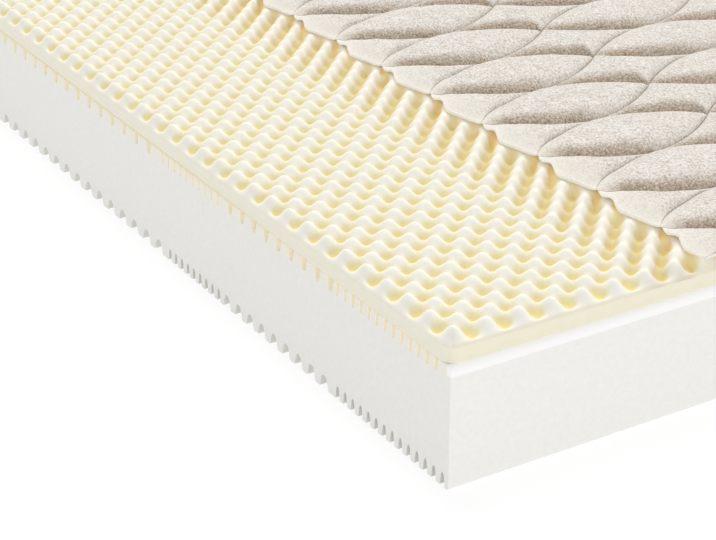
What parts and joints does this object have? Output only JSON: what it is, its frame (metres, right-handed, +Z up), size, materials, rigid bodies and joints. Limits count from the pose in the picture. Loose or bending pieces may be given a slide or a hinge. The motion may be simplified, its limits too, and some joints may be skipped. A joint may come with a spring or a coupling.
{
  "type": "foam mattress",
  "caption": "Flat single foam mattress opened to show its layers: a zoned grooved foam core, an egg-crate foam topper and a quilted knit cover panel.",
  "frame": {"origin": "middle of the underside, on the surface that the mattress lies on", "axes": "+X across the width towards the covered long side, +Y along the length, +Z up"},
  "size_m": [0.9, 2, 0.2057],
  "materials": {
    "core_foam": "white open-cell foam, matt",
    "topper_foam": "cream open-cell foam, matt",
    "quilted_knit": "heathered beige knit, quilted, pale padding at the cut edge"
  },
  "bodies": {
    "root": {"foam_core": "core_foam", "foam_topper": "topper_foam", "cover_panel": "quilted_knit"}
  },
  "joints": []
}
